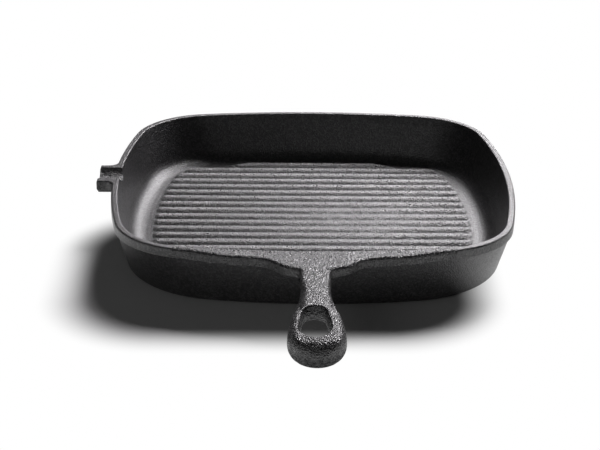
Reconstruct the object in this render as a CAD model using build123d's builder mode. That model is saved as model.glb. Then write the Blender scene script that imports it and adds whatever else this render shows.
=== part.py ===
from build123d import *
from math import sqrt
import os

os.makedirs("parts", exist_ok=True)

# A square cast iron grill pan, all in millimetres. The origin is the centre of the
# underside, +Z is up, the handle points along -Y and the pour spout along -X. The pan is
# one casting; each node is a named region of it, and regions meet face to face.

# Rim outline: four shallow bowed sides joined by round corners
RIM_HALF = 130.0          # from the centre to the middle of each side
FLANK_BOW = 415.0         # radius on which the left and right sides bow out
FRONT_BOW = 510.0         # radius on which the front and back sides bow out
RIM_CORNER = 53.0

# Outside of the wall, below the mould's parting line
PAN_HEIGHT = 37.0
BASE_INSET = 8.5          # the wall tapers in by this from the rim to the underside
BASE_BOW = 350.0          # the underside is rounder than the rim
BASE_CORNER = 66.0
BASE_EDGE = 3.5           # rounding between the wall and the underside

# Rim band, above the parting line
BAND_HEIGHT = 5.8
BAND_PROUD = 1.2          # how far the band stands out from the wall
BAND_EDGE = 1.2           # rounding of the band's outer top edge
LIP_EDGE = 0.8            # rounding of the band's inner top edge
RIM_WIDTH = 4.1

# Inside of the pan
FLOOR_THICKNESS = 4.8
WALL_FOOT = 3.5           # the wall at floor level, before the fillet thickens it
FLOOR_FILLET = 12.0

# Sear ribs, running along X
RIB_PITCH = 10.8
RIB_WIDTH = 8.6           # at the floor
RIB_HEIGHT = 2.1
RIB_DRAFT = 36.0          # draft of a rib's sides, degrees
RIB_CROWN = 2.2           # rounding of a rib's top edges
FIELD_INSET = 13.0        # from the cavity's edge at floor level to the ends of the ribs
FIELD_CORNER = 27.0
FIELD_MARGIN = 1.5        # least distance from an outermost rib's middle to the field's edge

# Pour spout, an open trough near the middle of the left side
SPOUT_Y = 2.0
SPOUT_WIDTH = 29.5
SPOUT_REACH = 10.2        # beyond the rim
SPOUT_DEPTH = 8.2         # from the rim down to the spout's underside
SPOUT_ROOT = 6.0          # blend into the rim
SPOUT_DRAFT = 25.0        # draft of the belly below the parting line, degrees
TROUGH_WIDTH = 20.0
TROUGH_DEPTH = 5.0

# Handle: a flare that leaves the rim, a narrow neck and a drop-shaped end
HANDLE_REACH = 117.0      # from the rim to the tip
HANDLE_EDGE = 2.5         # rounding of the top edge
FLARE_HALF = 84.0         # where the flare leaves the rim, from the middle
WING_HALF = 49.0          # a point on the flare's long shallow edge
WING_REACH = 3.2
HOLLOW_HALF = 27.0        # the hollow between the wing and the shoulder
HOLLOW_REACH = 8.5
SHOULDER_HALF = 17.0      # where the flare turns in to the neck
SHOULDER_REACH = 17.5
CROOK_REACH = 21.0        # the corner between shoulder and neck
CROOK_RADIUS = 4.0
NECK_HALF = 8.7
NECK_START = 29.0         # from the rim to the end of the root
NECK_LENGTH = 10.0
GRIP_HALF = 16.1          # the widest half width of the drop
GUSSET_HALF = 36.0        # half width of the gusset below the flare, at the wall
ROOT_DEPTH = 10.5         # from the rim's top to the gusset's underside
NECK_DEPTH = 9.6
EYE_DEPTH = 10.0          # at the narrow end of the eye
TIP_DEPTH = 15.0          # from the rim's top to the underside of the drop
DOME_LENGTH = 7.8         # how far the drop's top face stops short of the tip
CROWN_FLAT = 12.6         # half width of the drop's top face, where its shoulders begin
KEEL_FLAT = 6.5           # half width of the drop's underside
KEEL_EDGE = 2.0           # rounding of the underside
DRAFT = 6.0               # draft of the handle's lower half, degrees

# Hanging eye, an egg-shaped hole drafted both ways from the parting line
EYE_SETBACK = 19.1        # from the tip to the centre of the wide end
EYE_WIDE = 8.8            # radius of the wide end, at the parting line
EYE_NARROW = 6.2          # radius of the narrow end
EYE_SPACING = 21.8        # between the centres of the two ends
EYE_SHIFT = -1.0          # the eye sits a little to the left of the handle's middle
EYE_DRAFT = 7.0
EYE_EDGE = 1.0

PARTING = PAN_HEIGHT - BAND_HEIGHT
FRONT = -RIM_HALF
TIP_Y = FRONT - HANDLE_REACH
NECK_Y = FRONT - NECK_START
GRIP_Y = TIP_Y + GRIP_HALF
EYE_Y = TIP_Y + EYE_SETBACK
SPOUT_ZONE = SPOUT_WIDTH + 2 * SPOUT_ROOT + 2 * BAND_EDGE
BASE_HALF = RIM_HALF - BASE_INSET
CAVITY_HALF = BASE_HALF - WALL_FOOT
FLOOR_INSET = WALL_FOOT + FLOOR_FILLET
PAST = 1.0                # how far a cutting tool runs past the face it cuts


def bowed_square(level, half, flank_bow, front_bow, corner, inset=0.0):
    """Four large circles overlap and the corners are rounded; the whole is drawn in by inset."""
    with BuildSketch(Plane.XY.offset(level)) as outline:
        with Locations((half - flank_bow, 0)):
            Circle(flank_bow - inset)
        with Locations((flank_bow - half, 0)):
            Circle(flank_bow - inset, mode=Mode.INTERSECT)
        with Locations((0, half - front_bow)):
            Circle(front_bow - inset, mode=Mode.INTERSECT)
        with Locations((0, front_bow - half)):
            Circle(front_bow - inset, mode=Mode.INTERSECT)
        fillet(outline.vertices(), corner - inset)
    return outline.sketch


def rim_outline(level, inset=0.0):
    return bowed_square(level, RIM_HALF, FLANK_BOW, FRONT_BOW, RIM_CORNER, inset)


def base_outline(level, inset=0.0):
    return bowed_square(level, BASE_HALF, BASE_BOW, BASE_BOW, BASE_CORNER, inset)


def rim_y(x):
    """The front side of the rim's outline at a distance x from the middle."""
    return FRONT + FRONT_BOW - sqrt(FRONT_BOW**2 - x**2)


FLARE_Y = rim_y(FLARE_HALF)
FLARE_SLOPE = FLARE_HALF / sqrt(FRONT_BOW**2 - FLARE_HALF**2)


# ---------------------------------------------------------------- shared forms
# The outside of the wall, from the underside up to the parting line
with BuildPart() as outer_form:
    loft(
        sections=[
            base_outline(0),
            rim_outline(PARTING, BAND_PROUD),
        ],
        ruled=True,
    )
    fillet(outer_form.faces().sort_by(Axis.Z)[0].edges(), BASE_EDGE)

# The space inside the pan, with the large fillet round the floor
with BuildPart() as cavity:
    loft(
        sections=[
            base_outline(FLOOR_THICKNESS, WALL_FOOT),
            rim_outline(PAN_HEIGHT, RIM_WIDTH),
        ],
        ruled=True,
    )
    fillet(cavity.faces().sort_by(Axis.Z)[0].edges(), FLOOR_FILLET)

# Everything round the rim above the parting line: the band, widened by the spout
with BuildPart() as crown:
    with BuildSketch(Plane.XY.offset(PARTING)) as crown_plan:
        add(rim_outline(0))
        with Locations((-RIM_HALF, SPOUT_Y)):
            Rectangle(2 * SPOUT_REACH, SPOUT_WIDTH)
        spout_roots = crown_plan.vertices().filter_by_position(Axis.X, -RIM_HALF, -RIM_HALF + PAST)
        fillet(spout_roots, SPOUT_ROOT)
    extrude(amount=BAND_HEIGHT)
    fillet(crown.faces().sort_by(Axis.Z)[-1].edges(), BAND_EDGE)
    add(cavity.part, mode=Mode.SUBTRACT)
    lip = crown.faces().sort_by(Axis.Z)[-1].inner_wires()[0].edges()
    fillet(lip, LIP_EDGE)

# ---------------------------------------------------------------- the floor
with BuildPart() as griddle_floor:
    add(base_outline(0, FLOOR_INSET))
    extrude(amount=FLOOR_THICKNESS)
griddle_floor.part.label = "griddle_floor"
export_step(griddle_floor.part, "parts/griddle_floor.step")

# ---------------------------------------------------------------- the wall
# It stands round the floor and carries the fillet, up to the parting line
with BuildPart() as side_wall:
    add(outer_form.part)
    add(cavity.part, mode=Mode.SUBTRACT)
    add(griddle_floor.part, mode=Mode.SUBTRACT)
side_wall.part.label = "side_wall"
export_step(side_wall.part, "parts/side_wall.step")

# ---------------------------------------------------------------- the rim band
# Two lengths of band run from the handle's flare to the pour spout: a short one round the
# front left corner, and a long one round the other three corners
with BuildPart() as rim_gaps:
    with BuildSketch(Plane.XY.offset(PARTING - PAST)):
        with Locations((0, FLARE_Y)):
            Rectangle(2 * FLARE_HALF, RIM_HALF)
        with Locations((-RIM_HALF, SPOUT_Y)):
            Rectangle(RIM_HALF, SPOUT_ZONE)
    extrude(amount=BAND_HEIGHT + 2 * PAST)

with BuildPart() as bands:
    add(crown.part)
    add(rim_gaps.part, mode=Mode.SUBTRACT)

for name, arc in zip(["rim_band_left", "rim_band_right"], bands.solids().sort_by(SortBy.VOLUME)):
    with BuildPart() as rim_band:
        add(arc)
    rim_band.part.label = name
    export_step(rim_band.part, f"parts/{name}.step")

# ---------------------------------------------------------------- the pour spout
# The upper part is the length of rim between the two bands, with its trough; the lower part
# is the belly under the trough, which sits against the wall
TROUGH_RADIUS = (TROUGH_WIDTH**2 / 4 + TROUGH_DEPTH**2) / (2 * TROUGH_DEPTH)
with BuildPart() as trough:
    with BuildSketch(Plane.YZ.offset(-RIM_HALF - SPOUT_REACH - PAST)):
        with Locations((SPOUT_Y, PAN_HEIGHT - TROUGH_DEPTH + TROUGH_RADIUS)):
            Circle(TROUGH_RADIUS)
    extrude(amount=SPOUT_REACH + 3 * RIM_WIDTH)

with BuildPart() as spout_zone:
    with BuildSketch(Plane.XY.offset(PARTING)):
        with Locations((-RIM_HALF, SPOUT_Y)):
            Rectangle(RIM_HALF, SPOUT_ZONE)
    extrude(amount=BAND_HEIGHT)
    add(crown.part, mode=Mode.INTERSECT)

with BuildPart() as pour_spout:
    with BuildSketch(Plane.XY.offset(PARTING)):
        with Locations((-RIM_HALF, SPOUT_Y)):
            Rectangle(2 * SPOUT_REACH, SPOUT_WIDTH)
    extrude(amount=BAND_HEIGHT - SPOUT_DEPTH, taper=SPOUT_DRAFT)
    add(outer_form.part, mode=Mode.SUBTRACT)
    add(spout_zone.part)
    add(trough.part, mode=Mode.SUBTRACT)
pour_spout.part.label = "pour_spout"
export_step(pour_spout.part, "parts/pour_spout.step")

# ---------------------------------------------------------------- the handle
INSIDE_Y = FLARE_Y + RIM_WIDTH + PAST      # well inside the rim, where the cavity cuts it off

# Above the parting line: flush with the rim, domed towards the tip
with BuildPart() as handle_upper:
    with BuildSketch(Plane.XY.offset(PARTING)) as upper_plan:
        with BuildLine():
            inner = Line((0, INSIDE_Y), (FLARE_HALF, INSIDE_Y))
            end = Line(inner @ 1, (FLARE_HALF, FLARE_Y))
            wing = Spline(
                end @ 1,
                (WING_HALF, FRONT - WING_REACH),
                (HOLLOW_HALF, FRONT - HOLLOW_REACH),
                (SHOULDER_HALF, FRONT - SHOULDER_REACH),
                tangents=[(-1, -FLARE_SLOPE), (-1, -0.5)],
            )
            shoulder = Line(wing @ 1, (NECK_HALF, FRONT - CROOK_REACH))
            neck = Line(shoulder @ 1, (NECK_HALF, NECK_Y - NECK_LENGTH))
            drop = Spline(neck @ 1, (GRIP_HALF, GRIP_Y), tangents=[(0, -1), (0, -1)])
            RadiusArc(drop @ 1, (0, TIP_Y), GRIP_HALF)
            mirror(about=Plane.YZ)
        make_face()
        crook_y = FRONT - CROOK_REACH
        fillet(upper_plan.vertices().filter_by_position(Axis.Y, crook_y, crook_y), CROOK_RADIUS)
    extrude(amount=BAND_HEIGHT)
    with BuildSketch(Plane.YZ.offset(-FLARE_HALF - PAST)):
        with BuildLine():
            flat = Line((INSIDE_Y + PAST, PAN_HEIGHT), (TIP_Y + DOME_LENGTH, PAN_HEIGHT))
            dome = Spline(flat @ 1, (TIP_Y - PAST, PARTING), tangents=[(-1, 0), (-0.3, -1)])
            Polyline(dome @ 1, (INSIDE_Y + PAST, PARTING), flat @ 0)
        make_face()
    extrude(amount=2 * (FLARE_HALF + PAST), mode=Mode.INTERSECT)
    top_edges = handle_upper.faces().filter_by(Axis.Z).sort_by(Axis.Z)[-1].edges()
    fillet(top_edges.filter_by(lambda edge: edge.center().Y < FLARE_Y), HANDLE_EDGE)
    with BuildSketch(Plane.XZ.offset(-NECK_Y)):
        with BuildLine():
            shoulder = Spline(
                (CROWN_FLAT, PAN_HEIGHT), (GRIP_HALF, PARTING), tangents=[(1, 0), (0, -1)]
            )
            side = Line(shoulder @ 1, (GRIP_HALF + PAST, PARTING))
            Polyline(
                side @ 1,
                (GRIP_HALF + PAST, PAN_HEIGHT + PAST),
                (CROWN_FLAT, PAN_HEIGHT + PAST),
                shoulder @ 0,
            )
        make_face()
        mirror(about=Plane.YZ)
    extrude(amount=NECK_Y - TIP_Y + PAST, mode=Mode.SUBTRACT)

# Below the parting line: a gusset against the wall, the neck and the keel of the drop
with BuildPart() as handle_lower:
    with BuildSketch(Plane.XY.offset(PARTING)):
        with BuildLine():
            inner = Line((0, INSIDE_Y), (GUSSET_HALF, INSIDE_Y))
            end = Line(inner @ 1, (GUSSET_HALF, FRONT + RIM_WIDTH))
            gusset = Spline(end @ 1, (NECK_HALF, NECK_Y), tangents=[(-1, -0.6), (0, -1)])
            neck = Line(gusset @ 1, (NECK_HALF, NECK_Y - NECK_LENGTH))
            drop = Spline(neck @ 1, (GRIP_HALF, GRIP_Y), tangents=[(0, -1), (0, -1)])
            RadiusArc(drop @ 1, (0, TIP_Y), GRIP_HALF)
            mirror(about=Plane.YZ)
        make_face()
    extrude(amount=BAND_HEIGHT - TIP_DEPTH, taper=DRAFT)
    with BuildSketch(Plane.YZ.offset(-GUSSET_HALF - PAST)):
        with BuildLine():
            back = Line((INSIDE_Y + PAST, PARTING), (INSIDE_Y + PAST, PAN_HEIGHT - ROOT_DEPTH))
            keel = Spline(
                back @ 1,
                (NECK_Y, PAN_HEIGHT - NECK_DEPTH),
                (EYE_Y + EYE_SPACING, PAN_HEIGHT - EYE_DEPTH),
                (GRIP_Y, PAN_HEIGHT - TIP_DEPTH),
                (TIP_Y - PAST, PAN_HEIGHT - TIP_DEPTH),
                tangents=[(-1, 0), (-1, 0)],
            )
            Polyline(keel @ 1, (TIP_Y - PAST, PARTING), back @ 0)
        make_face()
    extrude(amount=2 * (GUSSET_HALF + PAST), mode=Mode.INTERSECT)
    keel_face = handle_lower.faces().filter_by(lambda face: face.normal_at().Z < -0.9)[0]
    fillet(keel_face.edges().filter_by(lambda edge: edge.center().Y < FRONT), KEEL_EDGE)
    with BuildSketch(Plane.XZ.offset(-NECK_Y)):
        with BuildLine():
            bilge = Spline(
                (KEEL_FLAT, PAN_HEIGHT - TIP_DEPTH),
                (GRIP_HALF, PARTING - PAST),
                tangents=[(1, 0), (0, 1)],
            )
            side = Line(bilge @ 1, (GRIP_HALF + PAST, PARTING - PAST))
            Polyline(
                side @ 1,
                (GRIP_HALF + PAST, PAN_HEIGHT - TIP_DEPTH - PAST),
                (KEEL_FLAT, PAN_HEIGHT - TIP_DEPTH - PAST),
                bilge @ 0,
            )
        make_face()
        mirror(about=Plane.YZ)
    extrude(amount=NECK_Y - TIP_Y + PAST, mode=Mode.SUBTRACT)

# The eye, narrowest at the parting line and widening up and down
with BuildPart() as eye:
    for direction in (1, -1):
        with BuildSketch(Plane.XY.offset(PARTING)):
            with Locations((EYE_SHIFT, EYE_Y)):
                Circle(EYE_WIDE)
            with Locations((EYE_SHIFT, EYE_Y + EYE_SPACING)):
                Circle(EYE_NARROW)
            make_hull()
        extrude(amount=direction * (TIP_DEPTH + PAST), taper=-EYE_DRAFT)

with BuildPart() as handle:
    add(handle_upper.part)
    add(handle_lower.part)
    add(cavity.part, mode=Mode.SUBTRACT)
    add(outer_form.part, mode=Mode.SUBTRACT)
    add(eye.part, mode=Mode.SUBTRACT)
    top_face = handle.faces().filter_by(Axis.Z).sort_by(Axis.Z)[-1]
    fillet(top_face.inner_wires()[0].edges(), EYE_EDGE)

with BuildPart() as handle_root:
    add(handle.part)
    split(bisect_by=Plane.XZ.offset(-NECK_Y), keep=Keep.BOTTOM)
handle_root.part.label = "handle_root"
export_step(handle_root.part, "parts/handle_root.step")

with BuildPart() as handle_grip:
    add(handle.part)
    split(bisect_by=Plane.XZ.offset(-NECK_Y), keep=Keep.TOP)
handle_grip.part.label = "handle_grip"
export_step(handle_grip.part, "parts/handle_grip.step")

# ---------------------------------------------------------------- the sear ribs
# Round-ended ribs with rounded tops, as many in the front half as in the back; near the
# corners their ends run out on the fillet
field_half = CAVITY_HALF - FIELD_INSET
bow_inset = RIM_HALF - field_half
rib_field = bowed_square(0, field_half, FLANK_BOW - bow_inset, FRONT_BOW - bow_inset, FIELD_CORNER)
ribs_each_side = int((field_half - FIELD_MARGIN) / RIB_PITCH + 0.5)
rib_rows = [RIB_PITCH * (ribs_each_side - row - 0.5) for row in range(2 * ribs_each_side)]
for number, rib_y in enumerate(rib_rows):
    chord = Edge.make_line((-RIM_HALF, rib_y), (RIM_HALF, rib_y)) & rib_field
    with BuildPart() as sear_rib:
        with BuildSketch(Plane.XY.offset(FLOOR_THICKNESS)):
            with Locations((0, rib_y)):
                SlotOverall(chord.length, RIB_WIDTH)
        extrude(amount=RIB_HEIGHT, taper=RIB_DRAFT)
        fillet(sear_rib.faces().sort_by(Axis.Z)[-1].edges(), RIB_CROWN)
        add(side_wall.part, mode=Mode.SUBTRACT)
    sear_rib.part.label = f"sear_rib_{number + 1:02d}"
    export_step(sear_rib.part, f"parts/{sear_rib.part.label}.step")
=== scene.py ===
from math import radians

import bpy
import numpy as np
from mathutils import Matrix, Vector


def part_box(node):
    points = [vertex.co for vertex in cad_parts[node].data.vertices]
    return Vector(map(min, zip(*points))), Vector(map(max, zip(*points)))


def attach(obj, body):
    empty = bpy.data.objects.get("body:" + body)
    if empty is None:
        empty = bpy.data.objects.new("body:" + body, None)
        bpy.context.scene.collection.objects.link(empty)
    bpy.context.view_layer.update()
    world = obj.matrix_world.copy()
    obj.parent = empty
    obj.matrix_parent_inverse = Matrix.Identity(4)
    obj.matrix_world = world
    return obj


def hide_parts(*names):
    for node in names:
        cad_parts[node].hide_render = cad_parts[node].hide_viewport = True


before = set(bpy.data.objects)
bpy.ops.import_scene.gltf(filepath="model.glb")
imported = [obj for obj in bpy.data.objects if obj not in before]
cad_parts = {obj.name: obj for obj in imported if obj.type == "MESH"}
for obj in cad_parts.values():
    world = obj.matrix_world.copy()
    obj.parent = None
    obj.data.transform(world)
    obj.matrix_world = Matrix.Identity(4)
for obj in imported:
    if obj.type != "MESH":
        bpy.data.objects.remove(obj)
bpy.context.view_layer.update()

scene = bpy.context.scene
scene.view_settings.view_transform = "Standard"

# ------------------------------------------------------------------ camera
# A long lens a metre off, looking down on the pan from over its handle, with the pan
# filling the middle of the frame.
camera_data = bpy.data.cameras.new("camera")
camera_data.sensor_width = 36.0
camera_data.lens = 99.2
camera_distance = 1.004
camera_aim = Vector((-0.0085, -0.0862, 0.0372))
camera_swing, camera_drop, camera_roll = radians(-0.4), radians(22.5), radians(0.48)
camera = bpy.data.objects.new("camera", camera_data)
scene.collection.objects.link(camera)
camera.matrix_world = (
    Matrix.Translation(camera_aim)
    @ Matrix.Rotation(camera_swing, 4, "Z")
    @ Matrix.Rotation(radians(90) - camera_drop, 4, "X")
    @ Matrix.Rotation(camera_roll, 4, "Z")
    @ Matrix.Translation((0, 0, camera_distance))
)
scene.camera = camera

# ------------------------------------------------------------------ griddle floor and ribs
# The floor of the casting, with its rows of ribs standing on it. It is grey iron poured in
# sand, so every face keeps the print of the grains, and oil is baked on to it black. Spatulas
# wear the ribs' crowns greyer first.


def slide(tree, name, source, ends, results, kind="LINEAR"):
    """A value that goes from one result to the other as the source goes between two ends."""
    node = tree.nodes.new("ShaderNodeMapRange")
    node.name = name
    node.interpolation_type = kind
    node.inputs["From Min"].default_value, node.inputs["From Max"].default_value = ends
    node.inputs["To Min"].default_value, node.inputs["To Max"].default_value = results
    tree.links.new(source, node.inputs["Value"])
    return node.outputs["Result"]


def reckon(tree, operation, *terms, kind="Math", result="Value"):
    """One step of arithmetic, on what other nodes give and on plain values."""
    node = tree.nodes.new("ShaderNode" + kind)
    node.operation = operation
    for socket, term in zip(node.inputs, terms):
        if isinstance(term, bpy.types.NodeSocket):
            tree.links.new(term, socket)
        else:
            socket.default_value = term
    return node.outputs[result]


iron = bpy.data.materials.new("seasoned_iron_floor")
iron.use_nodes = True
iron_tree = iron.node_tree
skin = iron_tree.nodes["Principled BSDF"]
skin.inputs["IOR"].default_value = 1.85
skin.inputs["Specular IOR Level"].default_value = 0.85
place = iron_tree.nodes.new("ShaderNodeTexCoord").outputs["Object"]

# The sand's print: grains a little under a millimetre across, over slow swells.
grains = iron_tree.nodes.new("ShaderNodeTexVoronoi")
grains.name = "grains"
grains.inputs["Scale"].default_value = 1150.0
iron_tree.links.new(place, grains.inputs["Vector"])
swells = iron_tree.nodes.new("ShaderNodeTexNoise")
swells.inputs["Scale"].default_value = 420.0
swells.inputs["Detail"].default_value = 3.0
iron_tree.links.new(place, swells.inputs["Vector"])
swell_bump = iron_tree.nodes.new("ShaderNodeBump")
swell_bump.name = "swell bump"
swell_bump.inputs["Strength"].default_value = 0.6
swell_bump.inputs["Distance"].default_value = 0.0010
iron_tree.links.new(swells.outputs["Fac"], swell_bump.inputs["Height"])
grain_bump = iron_tree.nodes.new("ShaderNodeBump")
grain_bump.name = "grain bump"
grain_bump.invert = True
grain_bump.inputs["Strength"].default_value = 0.75
grain_bump.inputs["Distance"].default_value = 0.00050
iron_tree.links.new(grains.outputs["Distance"], grain_bump.inputs["Height"])
iron_tree.links.new(swell_bump.outputs["Normal"], grain_bump.inputs["Normal"])
iron_tree.links.new(grain_bump.outputs["Normal"], skin.inputs["Normal"])

# Painted shade darkens the colour low between the ribs, and more on the left, the spout's side.
spot = iron_tree.nodes.new("ShaderNodeSeparateXYZ")
spot.name = "spot"
iron_tree.links.new(place, spot.inputs["Vector"])
painted_low_shade = slide(iron_tree, "painted_low_shade", spot.outputs["Z"], (0.0050, 0.0070), (1.0, 0.0))
painted_left_shade = slide(iron_tree, "painted left shade", spot.outputs["X"], (-0.090, 0.050), (1.0, 0.30))
painted_shade = reckon(iron_tree, "MULTIPLY", painted_low_shade, painted_left_shade)

# Each grain took the oil a little differently: from black and dull to dark grey and shiny.
each = iron_tree.nodes.new("ShaderNodeSeparateColor")
iron_tree.links.new(grains.outputs["Color"], each.inputs["Color"])
# The painted shade darkens each grain's own tone.
out_of_painted_shade = reckon(iron_tree, "SUBTRACT", 1.0, painted_shade)
shade = reckon(iron_tree, "MULTIPLY", each.outputs["Red"], out_of_painted_shade)
oil = iron_tree.nodes.new("ShaderNodeValToRGB")
oil.name = "oil"
oil.color_ramp.elements[0].position = 0.40
oil.color_ramp.elements[0].color = (0.014, 0.014, 0.015, 1)
oil.color_ramp.elements[1].position = 1.0
oil.color_ramp.elements[1].color = (0.100, 0.097, 0.100, 1)
iron_tree.links.new(shade, oil.inputs["Fac"])
sheen = slide(iron_tree, "sheen", each.outputs["Green"], (0.0, 1.0), (0.62, 0.20))
# Where the shade is painted, the iron is also duller.
dullness_in_painted_shade = 0.40
dullness = reckon(iron_tree, "MULTIPLY_ADD", painted_shade, dullness_in_painted_shade, sheen)
iron_tree.links.new(dullness, skin.inputs["Roughness"])

# Wear bares the grey iron, from none at a low height to most at a high one.
wear = slide(iron_tree, "wear", spot.outputs["Z"], (0.0058, 0.0069), (0.0, 0.30))
bare = iron_tree.nodes.new("ShaderNodeMix")
bare.data_type = "RGBA"
bare.inputs["B"].default_value = (0.130, 0.126, 0.129, 1)
iron_tree.links.new(wear, bare.inputs["Factor"])
iron_tree.links.new(oil.outputs["Color"], bare.inputs["A"])
iron_tree.links.new(bare.outputs["Result"], skin.inputs["Base Color"])


def give_finish(name, finish):
    """Puts a finish on a piece of the casting."""
    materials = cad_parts[name].data.materials
    materials.clear()
    materials.append(finish)


give_finish("griddle_floor", iron)


def rib_rows(across, along, left, right, foot, height, pitch):
    """The ribs as one cast sheet over the floor.

    At (u, y) the sheet stands at x = left(y) + u (right(y) - left(y)). With
    c = (1 - cos(2 pi y / pitch)) / 2, its height over the floor is
    height (1 - (1 - c) ** fullness) e(x) w(x, y), where e falls smoothly to nothing over
    run_out before each row's end, and w = 1 - wear exp(-((x - worn_x) / worn_across)^2 -
    (y / worn_along)^2) is the wear in the middle. The sheet's lowest parts lie a little,
    sunk, under the floor.
    """
    fullness, run_out, sunk = 1.8, 0.003, 0.0003
    wear, worn_x, worn_across, worn_along = 0.35, 0.02, 0.07, 0.04
    u, y = np.meshgrid(across, along, indexing="ij")
    x = left[None, :] + u * (right - left)[None, :]
    swell = (1 - np.cos(2 * np.pi * y / pitch)) / 2
    ends = np.clip(np.minimum(x - left[None, :], right[None, :] - x) / run_out, 0, 1)
    ends = ends * ends * (3 - 2 * ends)
    worn = 1 - wear * np.exp(-(((x - worn_x) / worn_across) ** 2) - (y / worn_along) ** 2)
    z = foot - sunk + (height + sunk) * (1 - (1 - swell) ** fullness) * ends * worn
    points = np.stack([x, y, z], axis=-1).reshape(-1, 3)
    rows, columns = len(across), len(along)
    first = (np.arange(rows - 1)[:, None] * columns + np.arange(columns - 1)[None, :]).ravel()
    faces = np.stack([first, first + columns, first + columns + 1, first + 1], axis=1)
    return points, faces


rib_names = sorted(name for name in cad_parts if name.startswith("sear_rib_"))
rib_boxes = sorted((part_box(name) for name in rib_names), key=lambda corners: corners[0].y)
rib_y = np.array([(low.y + high.y) / 2 for low, high in rib_boxes])
rib_left = np.array([low.x for low, high in rib_boxes])
rib_right = np.array([high.x for low, high in rib_boxes])
rib_foot, rib_top = (corner.z for corner in rib_boxes[len(rib_boxes) // 2])
rib_across = np.linspace(0, 1, 171)
rib_along = np.linspace(rib_boxes[0][0].y, rib_boxes[-1][1].y, 431)
rib_points, rib_faces = rib_rows(
    rib_across, rib_along,
    np.interp(rib_along, rib_y, rib_left), np.interp(rib_along, rib_y, rib_right),
    rib_foot, rib_top - rib_foot, float(np.median(np.diff(rib_y))),
)
rib_mesh = bpy.data.meshes.new("rib_rows")
rib_mesh.vertices.add(len(rib_points))
rib_mesh.vertices.foreach_set("co", rib_points.ravel())
rib_mesh.loops.add(rib_faces.size)
rib_mesh.loops.foreach_set("vertex_index", rib_faces.ravel())
rib_mesh.polygons.add(len(rib_faces))
rib_mesh.polygons.foreach_set("loop_start", np.arange(0, rib_faces.size, 4))
rib_mesh.polygons.foreach_set("use_smooth", np.ones(len(rib_faces), dtype=bool))
rib_mesh.update(calc_edges=True)
rib_mesh.materials.append(iron)
rib_field = bpy.data.objects.new("rib_rows", rib_mesh)
scene.collection.objects.link(rib_field)
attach(rib_field, "root")
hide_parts(*rib_names)

# ------------------------------------------------------------------ side wall
# The leaning wall, cast in one with the floor and its wide inside fillet. Its faces lay against
# the smoother side of the sand, so they are finer and darker than the floor, and neither the
# painted shade nor wear shows on them.


def finish_like(finish, name, changes, best_oiled=None):
    """A copy of a finish, with other values on some of its nodes' sockets.

    best_oiled is the shade of the grains that took the oil best, where it differs too.
    """
    new = finish.copy()
    new.name = name
    nodes = new.node_tree.nodes
    for (node, socket), value in changes.items():
        nodes[node].inputs[socket].default_value = value
    if best_oiled:
        nodes["oil"].color_ramp.elements[1].color = (*best_oiled, 1)
    return new


wall_iron = finish_like(iron, "seasoned_iron_wall", {
    ("Principled BSDF", "Specular IOR Level"): 0.45,
    ("grains", "Scale"): 1250.0,
    ("grain bump", "Strength"): 0.48,
    ("swell bump", "Strength"): 0.18,
    ("sheen", "To Min"): 0.42,
    ("sheen", "To Max"): 0.30,
    ("painted_low_shade", "To Min"): 0.0,
    ("wear", "To Max"): 0.0,
}, best_oiled=(0.080, 0.078, 0.080))
give_finish("side_wall", wall_iron)

# ------------------------------------------------------------------ rim bands
# The thickened band round the top of the wall, in a left and a right run. Its upper edge is
# rubbed by lids and stacked pans, which leaves it greyer and brighter than the rest.
rim_iron = finish_like(iron, "seasoned_iron_rim", {
    ("Principled BSDF", "Specular IOR Level"): 0.45,
    ("grain bump", "Strength"): 0.62,
    ("swell bump", "Strength"): 0.30,
    ("sheen", "To Min"): 0.42,
    ("sheen", "To Max"): 0.28,
    ("painted_low_shade", "To Min"): 0.0,
    ("wear", "From Min"): 0.0364,
    ("wear", "From Max"): 0.0370,
    ("wear", "To Max"): 0.80,
}, best_oiled=(0.080, 0.078, 0.080))
give_finish("rim_band_left", rim_iron)
give_finish("rim_band_right", rim_iron)

# ------------------------------------------------------------------ pour spout
# A short lip cast on to the left of the rim, with a trough to pour fat from. It is as
# coarse as the ribs, and worn along its top, though less than the rim.
spout_iron = finish_like(rim_iron, "seasoned_iron_spout", {
    ("grain bump", "Strength"): 0.70,
    ("wear", "To Max"): 0.45,
})
give_finish("pour_spout", spout_iron)

# ------------------------------------------------------------------ handle root
# The wings that spread from the neck along the front of the rim, with a gusset under them, cast
# with the wall. The hand wears their flat top, and their underside is darkened as painted shade.
root_iron = finish_like(iron, "seasoned_iron_handle_root", {
    ("Principled BSDF", "Specular IOR Level"): 0.45,
    ("grains", "Scale"): 1050.0,
    ("grain bump", "Strength"): 0.8,
    # Painted shade: the colour darkens below this height, on the underside.
    ("painted_low_shade", "From Min"): 0.0280,
    ("painted_low_shade", "From Max"): 0.0308,
    ("painted left shade", "To Max"): 1.0,
    ("wear", "From Min"): 0.0300,
    ("wear", "From Max"): 0.0360,
    ("wear", "To Max"): 0.10,
}, best_oiled=(0.075, 0.073, 0.075))
give_finish("handle_root", root_iron)

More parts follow.
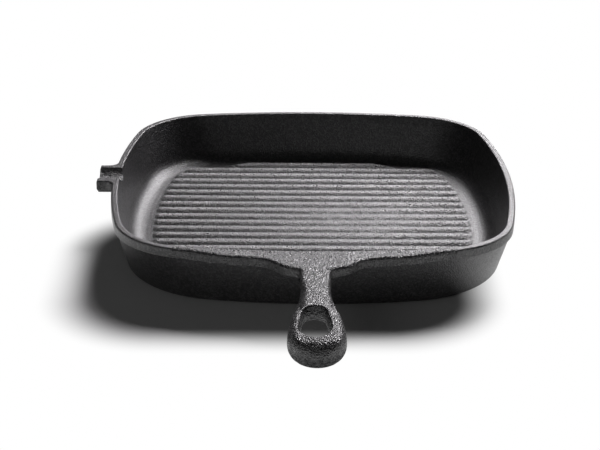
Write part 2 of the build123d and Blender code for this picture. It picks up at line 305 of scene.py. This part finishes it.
# ------------------------------------------------------------------ handle grip
# The neck and the drop-shaped end, cast with the pan. The drop is a plump rounded form,
# fettled by hand, with an egg-shaped eye through it and the mould's seam round its waist.
grip_iron = finish_like(root_iron, "seasoned_iron_grip", {
    # Painted shade: the grip is darker below this height.
    ("painted_low_shade", "From Min"): 0.0262,
    ("painted_low_shade", "From Max"): 0.0300,
    ("wear", "From Min"): 0.0300,
    ("wear", "From Max"): 0.0330,
})
grip_tree = grip_iron.node_tree
seam_z, seam_half_width = 0.0232, 0.0007
over_seam = reckon(grip_tree, "SUBTRACT", grip_tree.nodes["spot"].outputs["Z"], seam_z)
from_seam = reckon(grip_tree, "ABSOLUTE", over_seam)
seam = slide(grip_tree, "seam", from_seam, (0.0, seam_half_width), (1.0, 0.0), "SMOOTHSTEP")
seam_bump = grip_tree.nodes.new("ShaderNodeBump")
seam_bump.inputs["Strength"].default_value = 0.8
seam_bump.inputs["Distance"].default_value = 0.0010
grip_tree.links.new(seam, seam_bump.inputs["Height"])
grip_tree.links.new(seam_bump.outputs["Normal"], grip_tree.nodes["swell bump"].inputs["Normal"])

# The grip's solid, meshed again in even small faces that can be softened.
rough_grip = bpy.data.objects.new("rough_grip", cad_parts["handle_grip"].data.copy())
scene.collection.objects.link(rough_grip)
remesh = rough_grip.modifiers.new("remesh", "REMESH")
remesh.mode = "VOXEL"
remesh.voxel_size = 0.00055
remesh.use_smooth_shade = True
bpy.context.view_layer.update()
even_grip = rough_grip.evaluated_get(bpy.context.evaluated_depsgraph_get())
grip_mesh = bpy.data.meshes.new_from_object(even_grip)
grip_mesh.name = "handle_drop"
bpy.data.objects.remove(rough_grip)

points = np.empty(len(grip_mesh.vertices) * 3)
grip_mesh.vertices.foreach_get("co", points)
points = points.reshape(-1, 3)
x, y, z = points.T     # the points' own columns, so what moves these moves the points
edges = np.empty(len(grip_mesh.edges) * 2, dtype=np.int64)
grip_mesh.edges.foreach_get("vertices", edges)
edges = edges.reshape(-1, 2)
neighbours = np.bincount(edges.ravel(), minlength=len(points))[:, None]
grip_low, grip_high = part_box("handle_grip")
tip_y, cut_y = grip_low.y, grip_high.y


def rise(values, start, length):
    """0 up to start, and then straight up to 1 over the length."""
    return np.clip((values - start) / length, 0, 1)


def fall(values, end, length):
    """1 at first, and then straight down over the length to 0 at the end."""
    return np.clip((end - values) / length, 0, 1)


# Softening: each point moves towards the mean of its neighbours, over and over. Nothing
# moves at the neck's cut, and the eye keeps its edge. The eye is round at both ends, with
# its middle line at eye_x, and narrows evenly from the wide end at the tip.
eye_x, eye_far, eye_near = -0.001, tip_y + 0.0191, tip_y + 0.0409
eye_wide_radius, eye_narrow_radius = 0.0105, 0.0079
eye_length = eye_near - eye_far
along_eye = rise(y, eye_far, eye_length)
eye_radius = eye_wide_radius + (eye_narrow_radius - eye_wide_radius) * along_eye
eye_gap = np.hypot(x - eye_x, y - eye_far - along_eye * eye_length) - eye_radius
softness = (rise(eye_gap, 0, 0.0020) * fall(y, cut_y - 0.002, 0.008))[:, None]
softening_steps, softening_pace = 60, 0.6
for turn in range(softening_steps):
    total = np.zeros_like(points)
    np.add.at(total, edges[:, 0], points[edges[:, 1]])
    np.add.at(total, edges[:, 1], points[edges[:, 0]])
    points += softening_pace * softness * (total / neighbours - points)

# The softened drop is drawn out again to the casting's full length and depth, and the end
# of the neck is pushed a little way into the root.
lost_length, lost_depth, into_root = grip_low.y - y.min(), grip_low.z - z.min(), 0.0007
deep = fall(y, cut_y - 0.040, 0.030)
y += deep * lost_length * fall(y, tip_y + 0.016, 0.016)
z += deep * lost_depth * fall(z, 0.0312, 0.0092)
y += into_root * rise(y, cut_y - 0.003, 0.002)

# Its brow is rounded over, most at the tip and along both sides.
tip_round, side_round, neck_round = 0.0030, 0.0026, 0.0020
upper = rise(z, 0.018, 0.013)
at_tip = fall(y, tip_y + 0.012, 0.012)
at_side = rise(np.abs(x), 0.0095, 0.0065) * fall(y, tip_y + 0.057, 0.020)
between = np.minimum(fall(y, cut_y - 0.005, 0.012), rise(y, tip_y + 0.035, 0.012))
at_neck = rise(np.abs(x), 0.0045, 0.0045) * between
z -= upper * (tip_round * at_tip ** 2 + side_round * at_side ** 2 + neck_round * at_neck ** 2)

# The eye's wide end is drawn in to a longer curve, and the drop's outside stays as it is.
drawn_in = 0.20
to_end = fall(y, tip_y + 0.026, 0.0157)
to_end = to_end * to_end * (3 - 2 * to_end) * rise(y, tip_y + 0.005, 0.0045)
by_eye = fall(np.abs(x), 0.0113, 0.0025) * rise(z, 0.0175, 0.005)
x *= 1 - drawn_in * to_end * by_eye

grip_mesh.vertices.foreach_set("co", points.ravel())
grip_mesh.update()
grip_mesh.materials.clear()
grip_mesh.materials.append(grip_iron)
handle_drop = bpy.data.objects.new("handle_drop", grip_mesh)
scene.collection.objects.link(handle_drop)
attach(handle_drop, "root")
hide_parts("handle_grip")

# ------------------------------------------------------------------ paper, room and lights
# The pan stands on a sheet of studio paper with no edge in sight, which burns out to white
# away from the pan. One softbox stands behind it, and a dimmer and wider one in front.
paper_half, paper_z = 6.0, -0.0003
floor_mesh = bpy.data.meshes.new("floor")
floor_mesh.from_pydata(
    [
        (-paper_half, -paper_half, paper_z), (paper_half, -paper_half, paper_z),
        (paper_half, paper_half, paper_z), (-paper_half, paper_half, paper_z),
    ],
    [], [(0, 1, 2, 3)],
)
floor = bpy.data.objects.new("floor", floor_mesh)
scene.collection.objects.link(floor)
paper = bpy.data.materials.new("white_paper")
paper.use_nodes = True
paper_tree = paper.node_tree
paper_skin = paper_tree.nodes["Principled BSDF"]
paper_skin.inputs["Base Color"].default_value = (0.65, 0.65, 0.65, 1)
paper_skin.inputs["Roughness"].default_value = 0.9
paper_skin.inputs["Specular IOR Level"].default_value = 0.0


def shift(operation, *places):
    """One step of arithmetic on places on the paper, which gives another place."""
    return reckon(paper_tree, operation, *places, kind="VectorMath", result="Vector")


# Away from a rectangle round the pan the paper burns out to white, to the eye, in reflections and
# through glass, which hides any real shadow there. Near the pan it keeps its grey and the real
# shadow, so the rectangle paints the shadow's outline. How far a spot lies from the shadow is its
# distance from the rectangle.
painted_shadow_middle, painted_shadow_half = (-0.024, -0.078, 0.0), (0.069, 0.0345, 0.0)
paper_place = paper_tree.nodes.new("ShaderNodeTexCoord").outputs["Object"]
off_middle = shift("SUBTRACT", paper_place, painted_shadow_middle)
off_either_side = shift("ABSOLUTE", off_middle)
off_edge = shift("MAXIMUM", shift("SUBTRACT", off_either_side, painted_shadow_half), (0.0, 0.0, 0.0))
distance = reckon(paper_tree, "LENGTH", off_edge, kind="VectorMath")
fade = slide(paper_tree, "fade", distance, (0.040, 0.075), (0.0, 1.0), "SMOOTHSTEP")
ray = paper_tree.nodes.new("ShaderNodeLightPath").outputs
mirrored = reckon(paper_tree, "ADD", ray["Is Glossy Ray"], ray["Is Transmission Ray"])
looked_at = reckon(paper_tree, "ADD", ray["Is Camera Ray"], mirrored)
looked_at.node.use_clamp = True
white = paper_tree.nodes.new("ShaderNodeEmission")
burn = paper_tree.nodes.new("ShaderNodeMixShader")
paper_tree.links.new(reckon(paper_tree, "MULTIPLY", fade, looked_at), burn.inputs["Fac"])
paper_tree.links.new(paper_skin.outputs["BSDF"], burn.inputs[1])
paper_tree.links.new(white.outputs["Emission"], burn.inputs[2])
paper_tree.links.new(burn.outputs["Shader"], paper_tree.nodes["Material Output"].inputs["Surface"])
floor_mesh.materials.append(paper)

# The room glows a little from above and behind the pan, and less the further from there.
world = bpy.data.worlds.new("studio")
scene.world = world
world.use_nodes = True
sky = world.node_tree
brightest_way = (0.10, 0.45, 0.89)
way = sky.nodes.new("ShaderNodeTexCoord").outputs["Generated"]
towards = reckon(sky, "DOT_PRODUCT", way, brightest_way, kind="VectorMath")
glow = slide(sky, "glow", towards, (-0.2, 1.0), (0.03, 0.5), "SMOOTHSTEP")
sky.links.new(glow, sky.nodes["Background"].inputs["Strength"])


def hang_box(name, width, height, power, colour, where):
    """Hangs a box light, and turns it to the middle of the pan."""
    light = bpy.data.lights.new(name, "AREA")
    light.shape = "RECTANGLE"
    light.size, light.size_y = width, height
    light.energy = power
    light.color = colour
    box = bpy.data.objects.new(name, light)
    scene.collection.objects.link(box)
    box.location = where
    pan_middle = Vector((0, 0, 0.03))
    box.rotation_euler = (box.location - pan_middle).to_track_quat("Z", "Y").to_euler()


# The first box stands behind the pan and to its right, low enough to glance off the upward
# faces towards the camera. The second is on the cook's left, and lights the far wall's inside.
hang_box("softbox", 0.45, 0.60, 21, (1.0, 0.975, 1.0), (0.36, 0.88, 0.89))
hang_box("front_box", 1.1, 1.1, 3.1, (1.0, 1.0, 1.0), (-0.90, -1.60, 0.60))
